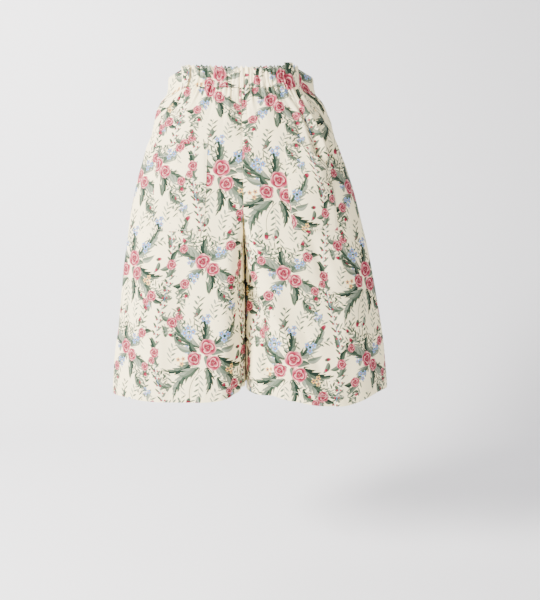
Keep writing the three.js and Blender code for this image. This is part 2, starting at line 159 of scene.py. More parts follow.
FINE_FOLDS = {
    ("left", "back"): [
        (1.9, 1.74, -30, -128, 6, 3.0, 1.5),
        (1.78, 1.5, -30, -130, 6, -3.0, 1.6),
        (1.66, 1.36, -26, -110, 6, 2.4, 1.6),
        (0.6, 0.56, -400, -600, 4, -1.6, 1.5),
        (0.3, 0.26, -420, HEM_Z, 5, -1.6, 1.6),
        (0.9, 0.92, -470, HEM_Z, 6, 1.4, 1.7),
        (0.2, 1.1, -262, -330, 6, -1.8, 1.6),
        (0.1, 0.3, -240, -420, 5, -2.4, 1.5),
        (0.75, 0.5, -330, HEM_Z, 7, -2.6, 1.6),
        (1.12, 1.06, -110, -290, 12, -1.8, 1.8),
        (1.5, 1.36, -320, HEM_Z, 12, 2.2, 1.8),
        (1.05, 1.16, -420, HEM_Z, 10, -2.2, 1.8),
        (1.84, 1.88, -220, HEM_Z, 13, 2.4, 1.8),
    ],
    ("right", "back"): [
        (1.44, 1.42, -60, -150, 5, -3.6, 1.6),
        (1.5, 1.49, -50, -170, 4.5, 3.4, 1.6),
        (1.56, 1.55, -56, -190, 5, -5.2, 1.5),
        (1.63, 1.62, -50, -180, 4.5, 4, 1.6),
        (1.7, 1.69, -56, -200, 5.5, -5.2, 1.5),
        (1.78, 1.76, -60, -180, 5, 3, 1.6),
        (1.5, 1.62, -100, -240, 9, -5, 1.8),
        (1.9, 1.86, -44, -150, 4, 1.5, 1.5),
        (1.3, 1.4, -26, -92, 5, 1.3, 1.6),
        (0.3, 0.34, -410, -610, 6, 1.8, 1.6),
        (0.2, 1.1, -266, -340, 6, -2, 1.6),
        (0.3, 1.2, -300, -420, 8, 2.2, 1.7),
        (0.34, 1.1, -290, -590, 7, -4.6, 1.5),
        (0.5, 1.2, -300, -580, 8, 3, 1.7),
        (1.1, 1.2, -110, -300, 12, -1.8, 1.8),
        (1.52, 1.34, -400, HEM_Z, 13, 2.4, 1.8),
        (1.12, 1.3, -470, HEM_Z, 9, -2.2, 1.8),
        (1.86, 1.9, -230, HEM_Z, 13, 2.4, 1.8),
        (1.5, 1.56, -300, -400, 6, 1.4, 1.6),
    ],
    ("left", "front"): [
        (1.62, 1.5, -26, -120, 6, -1.6, 1.6),
        (1.8, 1.7, -26, -130, 6, 1.6, 1.6),
        (0.3, 1.2, -262, -330, 7, -2.2, 1.6),
        (0.3, 1.06, -290, -540, 8, -2.8, 1.6),
        (1.3, 1.2, -24, -220, 12, 2.4, 1.8),
        (1.14, 1.06, -24, -240, 10, -2.2, 1.8),
        (1.46, 1.4, -360, HEM_Z, 13, 2.6, 1.8),
        (1.84, 1.88, -260, HEM_Z, 12, 2.4, 1.8),
        (0.34, 0.3, -420, HEM_Z, 6, 1.6, 1.6),
    ],
    ("right", "front"): [
        (1.66, 1.56, -26, -110, 6, -1.6, 1.6),
        (1.84, 1.7, -26, -140, 6, 1.6, 1.6),
        (0.3, 1.2, -268, -340, 7, -2.2, 1.6),
        (0.4, 1.12, -300, -520, 8, -2.6, 1.6),
        (1.34, 1.26, -24, -200, 12, 2.4, 1.8),
        (1.12, 1.04, -24, -250, 10, -2.2, 1.8),
        (1.5, 1.42, -380, HEM_Z, 13, 2.6, 1.8),
        (1.84, 1.9, -250, HEM_Z, 12, 2.4, 1.8),
        (0.3, 0.36, -410, HEM_Z, 6, 1.6, 1.6),
    ],
}

HEM_LIFT = table("across left right", [
    (0, 20, 12),
    (0.5, 20, 13),
    (0.8, 10, 10),
    (1.0, 4, 5),
    (1.2, 1, -4),
    (1.4, 0, -7),
    (1.65, 0, 5),
    (1.85, -2, 9),
    (2, -3, 1),
])

POCKETS = table("leg near far top bottom sag gape bow print_x print_y", [
    ("left", 1.19, 1.63, -142, -305, 0, 2, 1.2, 96, 210),
    ("right", 1.25, 1.64, -142, -303, 42, 12, 1.6, 20, 130),
])
SLACK_FROM = 0.28
SLACK_FULL = 0.84
SLACK_HELD = 0.55
POCKET_NARROWING = 0.14

LOOPS = table("leg from_seam width top bottom stand print_x print_y", [
    ("left", 34, 16, 18, -24, 2.4, -86, 100),
    ("right", 43, 18, 24, -23, 3.6, -2, 26),
])

# ---- the garment's surface


def smooth(value):
    t = np.clip(value, 0, 1)
    return t * t * (3 - 2 * t)


def read_column(rows, name, key, value):
    """A table's column at values of its key, on a smooth curve through its rows."""
    rows = sorted(rows, key=lambda row: row[key])
    keys = np.array([row[key] for row in rows], float)
    column = np.array([row[name] for row in rows], float)
    last = len(rows) - 1
    before = np.maximum(np.arange(last + 1) - 1, 0)
    after = np.minimum(np.arange(last + 1) + 1, last)
    slope = (column[after] - column[before]) / (keys[after] - keys[before])
    value = np.clip(value, keys[0], keys[-1])
    i = np.clip(np.searchsorted(keys, value, side="right") - 1, 0, last - 1)
    span = keys[i + 1] - keys[i]
    t = (value - keys[i]) / span
    bend = t * (1 - t) * span * (slope[i] * (1 - t) - slope[i + 1] * t)
    return column[i] + (column[i + 1] - column[i]) * smooth(t) + bend


def section_sizes(leg, face, z):
    """What one leg's outline needs to know at heights z."""
    def read(name):
        return read_column(SECTIONS, name, "z", z)

    sign = LEG_SIGN[leg]
    depth = read(face)
    middle = read("middle")
    parting = smooth(0.5 + (SEAT_Z - z) / PARTING_SPAN)
    return {
        "middle": middle,
        "depth": depth,
        "turn": read("turn_" + leg),
        "seam": FACE_SIGN[face] * read("seam"),
        "half": read("side") + sign * (read("shift") - middle),
        "start": SEAM_GAP / 2 + parting * (FLANK_GAP - SEAM_GAP / 2),
        "edge": depth * (1 - smooth((SEAT_Z - z) / (SEAT_Z - CROTCH_Z))),
        "flare": (read("flare") - 1) * (face == "front"),
    }


def stretch_point(size, part, angle):
    """A point of the inner (0) or outer (1) stretch of an outline, across and deep."""
    sine = np.clip(np.sin(angle), 0, 1)
    cosine = np.clip(np.cos(angle), 0, 1)
    turned = size["start"] + size["turn"]
    if part == 0:
        across = size["start"] + size["turn"] * (1 - cosine) ** FLANK_POWER
        deep = size["edge"] + (size["depth"] - size["edge"]) * sine
    else:
        power = 2 / SECTION_POWER
        across = turned + (size["half"] - turned) * sine**power
        deep = size["seam"] + (size["depth"] - size["seam"]) * cosine**power
    swing = 1 + size["flare"] * smooth((deep - size["seam"]) / FLARE_REACH)
    return across * swing, deep


def stretch_lengths(size, part, steps=64):
    angles = np.linspace(0, math.pi / 2, steps + 1)[None, :]
    across, deep = stretch_point({k: v[:, None] for k, v in size.items()}, part, angles)
    gaps = np.hypot(np.diff(across, axis=1), np.diff(deep, axis=1))
    lengths = np.concatenate([np.zeros((len(gaps), 1)), np.cumsum(gaps, axis=1)], axis=1)
    return lengths, across


def base_surface(leg, face, across, z):
    """The undisturbed surface, and the distance along it from the turn line."""
    shape = z.shape
    across, z = np.broadcast_to(across, shape).ravel(), z.ravel()
    x, y, along = np.empty(len(z)), np.empty(len(z)), np.empty(len(z))
    for part, chosen in ((0, across <= 1), (1, across > 1)):
        if not chosen.any():
            continue
        size = section_sizes(leg, face, z[chosen])
        lengths, _ = stretch_lengths(size, part)
        steps = lengths.shape[1] - 1
        target = (across[chosen] - part) * lengths[:, -1]
        i = np.clip((lengths < target[:, None]).sum(axis=1), 1, steps)
        rows = np.arange(len(i))
        low, high = lengths[rows, i - 1], lengths[rows, i]
        angle = (i - 1 + (target - low) / (high - low)) * (math.pi / 2 / steps)
        wide, deep = stretch_point(size, part, angle)
        x[chosen] = size["middle"] + LEG_SIGN[leg] * wide
        y[chosen] = FACE_SIGN[face] * deep
        along[chosen] = target - lengths[:, -1] * (part == 0)
    return np.stack([x, y, z], axis=-1).reshape(*shape, 3), along.reshape(shape)


class Run:
    """Lengths of one leg's outline down the garment, for placing folds and the print."""

    def __init__(self, leg, face):
        self.z = np.linspace(HEM_Z - 20, BAND_TOP + 12, 160)
        size = section_sizes(leg, face, self.z)
        inner, inner_across = stretch_lengths(size, 0)
        outer, outer_across = stretch_lengths(size, 1)
        self.inner, self.outer = inner[:, -1], outer[:, -1]
        along = np.concatenate([inner - inner[:, -1:], outer], axis=1)
        wide = np.concatenate([inner_across, outer_across], axis=1)
        grain = GRAIN_AT_HIP + GRAIN_SWING * smooth((DIP_END_Z - self.z) / GRAIN_SPAN)
        self.grain = np.array([np.interp(g, w, a) for g, w, a in zip(grain, wide, along)])

    def at(self, name, z):
        return np.interp(z, self.z, getattr(self, name))

    def along(self, across, z):
        part = np.where(across <= 1, self.at("inner", z), self.at("outer", z))
        return (across - 1) * part


def waist_share(across):
    outer = TURN_SHARE + (across - 1) * (1 - TURN_SHARE)
    return np.where(across <= 1, across * TURN_SHARE, outer)


def waist_drop(face, across, z):
    fade = smooth((z - DIP_END_Z) / (BAND_BOTTOM - DIP_END_Z))
    if face == "back":
        return fade * BACK_DIP * (1 - waist_share(across) ** 2)
    return fade * FRONT_SAG * np.exp(-(((across - SAG_AT) / SAG_WIDTH) ** 2))


def fold_height(leg, face, z, along, run):
    height = np.zeros_like(z)
    for fold in table(FOLD_COLUMNS, MAIN_FOLDS[leg, face] + FINE_FOLDS[leg, face]):
        down = (fold["top"] - z) / (fold["top"] - fold["bottom"])
        strength = smooth(down / FOLD_GROWTH)
        if fold["bottom"] != HEM_Z:
            strength = strength * smooth((1 - down) / FOLD_DECAY)
        centre = fold["start"] + (fold["end"] - fold["start"]) * np.clip(down, 0, 1)
        distance = np.abs(along - run.along(centre, z)) / fold["width"]
        height += fold["depth"] * strength * np.exp(-(distance ** fold["crispness"]))
    return height


def pleat(phase):
    """A round ridge between two narrow valleys, from 1 to -1."""
    return 2 * np.abs(np.cos(phase / 2)) ** 0.8 - 1


def gather_wave(leg, face, across, z):
    """The gathers of the back waist: fine in the band, every other one below it.

    They drift and vary by waves of unlike lengths, so that no stretch repeats another.
    """
    if face == "front":
        return np.zeros_like(z)
    phase = waist_share(across) * GATHERS_PER_SIDE * 2 * math.pi
    drift = 1.5 * np.sin(phase * 0.23 + 2 * LEG_SIGN[leg]) + 0.8 * np.sin(phase * 0.57 + z / 22)
    uneven = 1 + GATHER_UNEVENNESS * np.sin(phase * GATHER_DRIFT + LEG_SIGN[leg])
    uneven = uneven + 0.42 * np.sin(phase * 0.83 + z / 15)
    fade = smooth((z - GATHER_FADE_Z) / (BAND_BOTTOM - GATHER_FADE_Z))
    fine = pleat(phase + drift) * smooth((z - FINE_END_Z) / PUCKER_SPAN)
    wide = WIDE_DEPTH * pleat((phase + drift) / 2) * smooth((WIDE_START_Z - z) / PUCKER_SPAN)
    return GATHER_DEPTH * uneven * fade * (GATHER_RELIEF * fine + wide)


def soft_ripple(along, z, seed):
    """Slight unevenness of hanging cloth, a few tenths of a millimetre deep."""
    ripple = np.sin(along / 17 + z / 61 + seed) * np.sin(z / 43 - along / 90 + 2 * seed)
    ripple += 0.6 * np.sin(along / 9.3 - z / 37 + 3 * seed) * np.sin(z / 26 + seed)
    return RIPPLE_DEPTH * ripple


def grid_normals(points, sign):
    down = np.gradient(points, axis=0)
    side = np.gradient(points, axis=1)
    normal = np.cross(side, down) * sign
    return normal / np.linalg.norm(normal, axis=-1, keepdims=True)


def moved_out(base, height, sign):
    """A surface raised by a height, and its way out."""
    points = base + grid_normals(base, sign) * height[..., None]
    return points, grid_normals(points, sign)


class Patch:
    """A grid of cloth: its middle surface, the way out, and its place in the flat cut."""

    def __init__(self, across, levels, points, normals, flat):
        self.across, self.levels = across, levels
        self.points, self.normals, self.flat = points, normals, flat

    def sample(self, field, across, level):
        columns = np.interp(across, self.across, np.arange(len(self.across)))
        falling = -np.asarray(self.levels)
        rows = np.interp(-np.asarray(level, float), falling, np.arange(len(falling)))
        c = np.clip(columns.astype(int), 0, len(self.across) - 2)
        r = np.clip(rows.astype(int), 0, len(falling) - 2)
        u, v = (columns - c)[..., None], (rows - r)[..., None]
        top = field[r, c] * (1 - u) + field[r, c + 1] * u
        low = field[r + 1, c] * (1 - u) + field[r + 1, c + 1] * u
        return top * (1 - v) + low * v

    def line(self, across, level, lift):
        across, level = np.broadcast_arrays(np.asarray(across, float), level)
        points = self.sample(self.points, across, level)
        normals = self.sample(self.normals, across, level)
        return points + normals * lift, normals


# ---- cut pieces as grids

INNER_COLUMNS = 36
OUTER_COLUMNS = 110
ROWS = 190
SEAM_DIP = 0.8
SEAM_DIP_WIDTH = 2.4
PUCKER_PITCH = 8.5
PUCKER_DEPTH = 0.28
HEM_DEPTH = 19
HEM_DIP = 0.45
ROPING_DEPTH = 0.3
ROPING_PITCH = 11

# The print lies elsewhere on each cut piece, as no piece was matched to its neighbour.
PANELS = table("leg face seed print_x print_y", [
    ("left", "back", 0.4, -31, 200),
    ("left", "front", 3.1, 60, 90),
    ("right", "back", 1.9, 17, 222),
    ("right", "front", 4.6, -12, 150),
])
BAND_PRINT = (60, 6)


def edge_distance(across, z, run):
    """Distance from the middle seam or inseam, and from the side seam."""
    along = run.along(across, z)
    return along + run.at("inner", z), run.at("outer", z) - along


def seam_relief(across, z, run, seed):
    near, far = edge_distance(across, z, run)
    dip = np.zeros_like(z)
    for distance, phase in ((near, seed), (far, seed + 1.3)):
        dip -= SEAM_DIP * np.exp(-((distance / SEAM_DIP_WIDTH) ** 2))
        pucker = np.sin(z * 2 * math.pi / PUCKER_PITCH + 1.4 * np.sin(z / 31 + phase))
        dip += PUCKER_DEPTH * pucker * np.exp(-distance / 6)
    return dip


def hem_relief(along, level, seed):
    above = level - HEM_Z
    line = -HEM_DIP * np.exp(-(((above - HEM_DEPTH) / 1.5) ** 2))
    sway = 1.2 * np.sin(along / 37 + seed)
    roping = np.sin(along * 2 * math.pi / ROPING_PITCH + above / 5 + sway)
    return line + ROPING_DEPTH * roping * np.exp(-(((above - 0.6 * HEM_DEPTH) / 11) ** 2))


def gather_stretch(face, z):
    """How much wider the flat cloth is than the gathered cloth."""
    return 1 + GATHER_FULLNESS * smooth((z - FULLNESS_END_Z) / FULLNESS_SPAN) * (face == "back")


def leg_panel(leg, face, seed, print_x, print_y):
    inner = np.linspace(0, 1, INNER_COLUMNS + 1)
    outer = np.linspace(1, 2, OUTER_COLUMNS + 1)[1:]
    across = np.concatenate([inner, outer])
    levels = np.linspace(BAND_BOTTOM - SEAM_GAP, HEM_Z, ROWS + 1)
    level, wide = np.meshgrid(levels, across, indexing="ij")
    lift = read_column(HEM_LIFT, leg, "across", across)
    share = smooth((CROTCH_Z - level) / (CROTCH_Z - HEM_Z))
    raised = level + lift[None, :] * share
    z = raised - waist_drop(face, wide, raised)
    base, along = base_surface(leg, face, wide, z)
    run = Run(leg, face)
    height = fold_height(leg, face, z, along, run)
    height += gather_wave(leg, face, wide, raised)
    height += soft_ripple(along, z, seed) + seam_relief(wide, z, run, seed)
    height += hem_relief(along, level, seed)
    turned = LEG_SIGN[leg] * FACE_SIGN[face]
    points, normals = moved_out(base, height, turned)
    flat_x = -turned * (along - run.at("grain", z)) * gather_stretch(face, z)
    flat = np.stack([flat_x + print_x, raised + print_y], axis=-1)
    return Patch(across, levels, points, normals, flat)


def keep_to_side(points, leg, face):
    """Keeps a panel's edges on their own side of the seams."""
    x, y, z = np.moveaxis(points, -1, 0)
    middle = read_column(SECTIONS, "middle", "z", z)
    seam = read_column(SECTIONS, "seam", "z", z)
    gap = SEAM_GAP / 3
    across = np.maximum(gap, LEG_SIGN[leg] * (x - middle))
    deep = np.maximum(gap, FACE_SIGN[face] * (y - seam))
    kept = [middle + LEG_SIGN[leg] * across, seam + FACE_SIGN[face] * deep, z]
    return np.stack(kept, axis=-1)


# ---- meshes

EDGE_ANGLE = 50  # a sharper turn than this has a hard edge


def grid_faces(rows, columns, first=0):
    ids = np.arange(rows * columns).reshape(rows, columns) + first
    a, b = ids[:-1, :-1], ids[:-1, 1:]
    c, d = ids[1:, 1:], ids[1:, :-1]
    return np.stack([a, b, c, d], axis=-1).reshape(-1, 4)


def rim_faces(rows, columns):
    ids = np.arange(rows * columns).reshape(rows, columns)
    loop = np.concatenate([ids[0, :-1], ids[:-1, -1], ids[-1, :0:-1], ids[:0:-1, 0]])
    ahead = np.roll(loop, -1)
    under = rows * columns
    return np.stack([ahead, loop, loop + under, ahead + under], axis=-1)


def add_object(name, data):
    piece = bpy.data.objects.new(name, data)
    bpy.context.scene.collection.objects.link(piece)
    return piece


def mesh_object(name, points, faces, flat, inside, materials):
    """A smooth mesh, facing out, with the flat cut in metres as its UV map."""
    a, b, c, d = (points[faces[:, i]] for i in range(4))
    volume = np.einsum("ij,ij->", a, np.cross(b, c)) + np.einsum("ij,ij->", a, np.cross(c, d))
    if volume < 0:
        faces = faces[:, ::-1]
    mesh = bpy.data.meshes.new(name)
    mesh.from_pydata((points * MM).tolist(), [], faces.tolist())
    if flat is not None:
        layer = mesh.uv_layers.new(name="print")
        layer.data.foreach_set("uv", (flat[faces.ravel()] * MM).ravel())
    mesh.polygons.foreach_set("material_index", inside.astype(np.int32))
    mesh.polygons.foreach_set("use_smooth", np.ones(len(faces), bool))
    for material in materials:
        mesh.materials.append(material)
    mesh.set_sharp_from_angle(angle=math.radians(EDGE_ANGLE))
    mesh.update()
    return add_object(name, mesh)


def shell(name, outer, inner, flat, materials):
    """A closed wall of cloth between two grids of points."""
    rows, columns = outer.shape[:2]
    points = np.concatenate([outer.reshape(-1, 3), inner.reshape(-1, 3)])
    under = grid_faces(rows, columns, rows * columns)[:, ::-1]
    faces = np.concatenate([grid_faces(rows, columns), under, rim_faces(rows, columns)])
    inside = np.zeros(len(faces))
    inside[len(under) : 2 * len(under)] = 1
    flat = np.tile(flat.reshape(-1, 2), (2, 1))
    return mesh_object(name, points, faces, flat, inside, materials)


STITCH_RING = 4
STITCH_PLACES = np.array([0.0, 0.22, 0.78, 1.0])
STITCH_SWELL = np.array([0.45, 1, 1, 0.45])[:, None]
STITCH_SINK = np.array([0.12, 0, 0, 0.12])[:, None]


def stitch_faces():
    """The faces of one stitch: three bands of four sides, and its two ends."""
    faces = []
    for first in range(0, 3 * STITCH_RING, STITCH_RING):
        for i in range(STITCH_RING):
            a, b = first + i, first + (i + 1) % STITCH_RING
            faces.append((a, b, b + STITCH_RING, a + STITCH_RING))
    last = 3 * STITCH_RING
    return np.array(faces + [(3, 2, 1, 0), (last, last + 1, last + 2, last + 3)])


def stitches(name, runs, material, length=2.3, pitch=3.1, width=0.5, height=0.3):
    """Rows of thread stitches along runs of (points, normals), as one mesh."""
    points = []
    for path, normals in runs:
        steps = np.linalg.norm(np.diff(path, axis=0), axis=1)
        lengths = np.concatenate([[0], np.cumsum(steps)])
        for start in np.arange(pitch / 2, lengths[-1] - length, pitch):
            places = start + length * STITCH_PLACES
            line = np.stack([np.interp(places, lengths, path[:, i]) for i in range(3)], -1)
            up = np.stack([np.interp(places, lengths, normals[:, i]) for i in range(3)], -1)
            up /= np.linalg.norm(up, axis=1, keepdims=True)
            side = np.cross(up, np.gradient(line, axis=0))
            side /= np.linalg.norm(side, axis=1, keepdims=True)
            middle = line - up * STITCH_SINK
            offsets = (side * width / 2, up * height, -side * width / 2, -up * height * 0.5)
            ring = [middle + offset * STITCH_SWELL for offset in offsets]
            points.append(np.stack(ring, axis=1).reshape(-1, 3))
    starts = np.arange(len(points)) * len(STITCH_PLACES) * STITCH_RING
    faces = (stitch_faces() + starts[:, None, None]).reshape(-1, 4)
    points = np.concatenate(points)
    return mesh_object(name, points, faces, None, np.zeros(len(faces)), [material])


# ---- the printed pattern

REPEAT_WIDTH = 168
REPEAT_HEIGHT = 336
BERRY_REACH = 3.6
BERRY_RADIUS = 1.8


def srgb(red, green, blue):
    def linear(value):
        value /= 255
        return value / 12.92 if value <= 0.04045 else ((value + 0.055) / 1.055) ** 2.4

    return (linear(red), linear(green), linear(blue), 1.0)


CREAM = srgb(255, 241, 194)
DARK_GREEN = srgb(20, 40, 29)
LEAF_GREEN = srgb(60, 76, 60)
SAGE = srgb(92, 103, 86)
PALE_SAGE = srgb(132, 139, 120)
CRIMSON = srgb(96, 8, 30)
ROSE = srgb(138, 36, 60)
PINK = srgb(184, 92, 104)
PALE_PINK = srgb(222, 156, 150)
BLUE = srgb(80, 118, 176)
PALE_BLUE = srgb(150, 180, 214)
NAVY = srgb(40, 52, 92)
OCHRE = srgb(196, 134, 64)
YELLOW = srgb(240, 204, 116)


MAP_ENTRIES = ("Value", "From Min", "From Max", "To Min", "To Max")


def feed(tree, entry, value):
    """Gives a node's input a constant, or what varies over the cloth."""
    if isinstance(value, Num):
        tree.links.new(value.socket, entry)
    elif isinstance(value, bpy.types.NodeSocket):
        tree.links.new(value, entry)
    else:
        entry.default_value = value


class Num:
    """A number that varies over the cloth: the output of a node."""

    def __init__(self, tree, socket):
        self.tree, self.socket = tree, socket

    def apply(self, operation, *others):
        node = self.tree.nodes.new("ShaderNodeMath")
        node.operation = operation
        for entry, value in zip(node.inputs, (self, *others)):
            feed(self.tree, entry, value)
        return Num(self.tree, node.outputs[0])

    __add__ = partialmethod(apply, "ADD")
    __sub__ = partialmethod(apply, "SUBTRACT")
    __mul__ = partialmethod(apply, "MULTIPLY")
    __truediv__ = partialmethod(apply, "DIVIDE")
    __neg__ = partialmethod(apply, "MULTIPLY", -1)
    size = partialmethod(apply, "ABSOLUTE")
    root = partialmethod(apply, "SQRT")
    sine = partialmethod(apply, "SINE")
    cosine = partialmethod(apply, "COSINE")
    fraction = partialmethod(apply, "FRACT")
    angle_with = partialmethod(apply, "ARCTAN2")
    larger = partialmethod(apply, "MAXIMUM")

    def below(self, limit, soft=0.35):
        """1 where the number is under the limit, with a narrow soft edge."""
        past = self - limit
        node = self.tree.nodes.new("ShaderNodeMapRange")
        node.interpolation_type = "SMOOTHSTEP"
        node.clamp = False
        for label, value in zip(MAP_ENTRIES, (past, -soft, soft, 1, 0)):
            feed(self.tree, node.inputs[label], value)
        return Num(self.tree, node.outputs["Result"])


class Canvas:
    """A node group that draws on cloth. Places are in millimetres of flat cloth."""

    def __init__(self, name, inputs=()):
        self.tree = bpy.data.node_groups.new(name, "ShaderNodeTree")
        for label, kind in inputs:
            self.tree.interface.new_socket(name=label, in_out="INPUT", socket_type=kind)
        self.tree.interface.new_socket(
            name="Color", in_out="OUTPUT", socket_type="NodeSocketColor"
        )
        self.entry = self.tree.nodes.new("NodeGroupInput") if inputs else None

    def __getitem__(self, label):
        return Num(self.tree, self.entry.outputs[label])

    def node(self, kind, **settings):
        node = self.tree.nodes.new(kind)
        for name, value in settings.items():
            setattr(node, name, value)
        return node

    def local(self):
        """The cloth's place as a motif sees it, from the motif's root and turned to it."""
        right = self["u"] - self["x"]
        up = self["v"] - self["y"]
        cosine = self["turn"].cosine()
        sine = self["turn"].sine()
        return right * cosine + up * sine, up * cosine - right * sine

    def polar(self):
        x, y = self.local()
        return (x * x + y * y).root(), y.angle_with(x)

    def bent(self):
        """Along a bent rib, its share, the share left, and the distance off the rib."""
        x, y = self.local()
        t = x / self["length"]
        rest = -t + 1
        off = y - self["bend"] * 4 * t * rest
        return x, t, rest, off

    def ramp(self, number, stops):
        node = self.node("ShaderNodeValToRGB")
        band = node.color_ramp
        while len(band.elements) < len(stops):
            band.elements.new(0.5)
        for element, (place, colour) in zip(band.elements, stops):
            element.position = place
            element.color = colour
        feed(self.tree, node.inputs[0], number)
        return node.outputs[0]

    def blend(self, share, first, second):
        node = self.node("ShaderNodeMix", data_type="RGBA")
        for entry, value in (("Factor", share), (6, first), (7, second)):
            feed(self.tree, node.inputs[entry], value)
        return node.outputs[2]

    def finish(self, colour):
        feed(self.tree, self.node("NodeGroupOutput").inputs[0], colour)
        return self.tree


def flat_place(tree):
    """Where a point of cloth lies in the flat cut, in millimetres."""
    place = tree.nodes.new("ShaderNodeUVMap")
    place.uv_map = "print"
    scale = tree.nodes.new("ShaderNodeVectorMath")
    scale.operation = "SCALE"
    scale.inputs["Scale"].default_value = 1 / MM
    tree.links.new(place.outputs["UV"], scale.inputs[0])
    parts = tree.nodes.new("ShaderNodeSeparateXYZ")
    tree.links.new(scale.outputs[0], parts.inputs[0])
    return Num(tree, parts.outputs[0]), Num(tree, parts.outputs[1])


# Each motif gives its colour and where it covers the cloth.


def draw_rose(canvas, look):
    """A full rose: rings of scalloped petals, each turned from the one inside it."""
    reach, angle = canvas.polar()
    share = reach / canvas["radius"]
    lobes = (angle * 1.5 + share * 3.2).sine().size()
    flower = canvas.ramp((share * 2.3 - lobes * 0.5).fraction(), look)
    heart = share.below(0.4, 0.3)
    flower = canvas.blend(heart * 0.7, flower, CRIMSON)
    edge = share - (angle * 2.5).sine().size() * 0.13
    return flower, edge.below(0.87, 0.03)


def draw_posy(canvas, look):
    """Five-petalled blossoms in a ring round a point."""
    reach, angle = canvas.polar()
    half = canvas["count"].apply("DIVIDE", math.pi).apply("POWER", -1)
    sector = angle.apply("WRAP", half, -half)
    x = sector.cosine() * reach - canvas["spread"]
    y = sector.sine() * reach
    share = (x * x + y * y).root() / canvas["radius"]
    petal = (y.angle_with(x) * 2.5).cosine().size()
    return canvas.ramp(share, look), (share - petal * 0.5).below(0.5, 0.05)


def draw_bud(canvas, look):
    x, y = canvas.local()
    along, off = x / canvas["length"], y / canvas["length"]
    bloom = canvas.ramp(along * 0.5 + 0.5, look)
    return bloom, (along * along + off * off * 3.2).below(1, 0.16)


def draw_stem(canvas, look):
    _, t, _, off = canvas.bent()
    past = (t - 0.5).size() - 0.5
    return look, (off.size() - 0.6).larger(past * 60).below(0, 0.25)


def draw_leaf(canvas, look):
    """A plain pointed leaf, darker on one side of its rib."""
    _, t, rest, off = canvas.bent()
    half = t.root() * rest * canvas["width"] * 1.3
    tone = canvas.blend(off.below(0, 0.5), *look)
    return tone, (off.size() - half).below(-0.3, 0.3)


def draw_crest(canvas, look):
    """A long leaf with lobes that point to its tip, each shaded from its notch."""
    x, t, rest, off = canvas.bent()
    out = off.size()
    pitch = canvas["length"] / canvas["teeth"]
    lobe = ((x - out * 1.1) / pitch).fraction()
    half = t.root() * rest * canvas["width"] * 1.3 * (lobe * 0.7 + 0.5)
    shade = canvas.ramp((lobe + off.below(0, 0.3)) * 0.5, look)
    return shade, (out - half).below(-0.3, 0.3)


def leafy_line(off, place, pitch, reach):
    """Distance from a line and from slanting leaves that alternate on its sides."""
    side, out = off.apply("SIGN"), off.size()
    step = (place / pitch + side * 0.25).fraction() - 0.5
    slant = step * pitch - (out - reach * 0.5) * 0.85
    share = out / reach
    fat = share * (-share + 1) * pitch * 0.86
    return side, (slant.size() - fat).apply("MINIMUM", out - 0.35)


def draw_sprig(canvas, look):
    x, t, _, off = canvas.bent()
    side, nearest = leafy_line(off, x, canvas["pitch"], canvas["reach"])
    past = (t - 0.5).size() - 0.5
    mask = nearest.larger(past * 60).below(0, 0.3)
    return canvas.blend(side, *look), mask


def wander(canvas):
    """Distance from a line that swings once from side to side down the whole repeat."""
    x, y = canvas.local()
    wave = (y * (2 * math.pi / REPEAT_HEIGHT)).cosine()
    return x - wave * canvas["swing"], y


def draw_vine(canvas, look):
    """A wandering stem down the whole repeat, with leaves on both sides."""
    off, y = wander(canvas)
    side, nearest = leafy_line(off, y, canvas["pitch"], canvas["reach"])
    colour = canvas.blend(side, *look[:2])
    colour = canvas.blend((off.size() - 0.5).below(0, 0.3), colour, look[2])
    return colour, nearest.below(0, 0.3)


def draw_berries(canvas, look):
    """Small round berries on both sides of a wandering line."""
    off, y = wander(canvas)
    out = off.size() - BERRY_REACH
    pitch = canvas["pitch"]
    along = ((y / pitch).fraction() - 0.5) * pitch
    return look, (along * along + out * out).root().below(BERRY_RADIUS, 0.3)


# How each motif is drawn, and what its rows give after its place and turn.
MOTIFS = {
    "rose": (draw_rose, "radius"),
    "posy": (draw_posy, "count spread radius"),
    "bud": (draw_bud, "length"),
    "stem": (draw_stem, "length bend"),
    "leaf": (draw_leaf, "length width bend"),
    "crest": (draw_crest, "length width bend teeth"),
    "sprig": (draw_sprig, "length bend pitch reach"),
    "vine": (draw_vine, "swing pitch reach"),
    "berries": (draw_berries, "swing pitch"),
}


def motif_group(kind, look_name):
    """A node group that lays one motif over what is under it."""
    draw, sizes = MOTIFS[kind]
    inputs = [("Under", "NodeSocketColor")]
    inputs += [(size, "NodeSocketFloat") for size in f"u v x y turn {sizes}".split()]
    canvas = Canvas(f"{kind}_{look_name}", inputs)
    colour, mask = draw(canvas, LOOKS[look_name])
    return canvas.finish(canvas.blend(mask, canvas.entry.outputs["Under"], colour))


class Print(Canvas):
    """The whole print: motifs laid one over another on a ground."""

    def __init__(self, ground):
        super().__init__("floral_print")
        self.x, self.y = flat_place(self.tree)
        self.colour = ground
        self.groups = {}

    def cell(self, x, y, share=1):
        """Places measured from the nearest copy of a point of the half-drop repeat.

        A share of a half gives a repeat of half the size, which fits inside the whole one.
        """
        width, height = REPEAT_WIDTH * share, REPEAT_HEIGHT * share
        dx = self.x - x
        column = (dx / width).apply("ROUND")
        up = (self.y - y + column * (height / 2)).apply("WRAP", height / 2, -height / 2)
        return dx - column * width, up

    def lay(self, kind, cell, row):
        key = kind, row.get("look", kind)
        if key not in self.groups:
            self.groups[key] = motif_group(*key)
        node = self.node("ShaderNodeGroup", node_tree=self.groups[key])
        turn = math.radians(row["turn"])
        values = dict(row, u=cell[0], v=cell[1], Under=self.colour, turn=turn)
        for label in f"u v Under turn x y {MOTIFS[kind][1]}".split():
            feed(self.tree, node.inputs[label], values[label])
        self.colour = node.outputs[0]


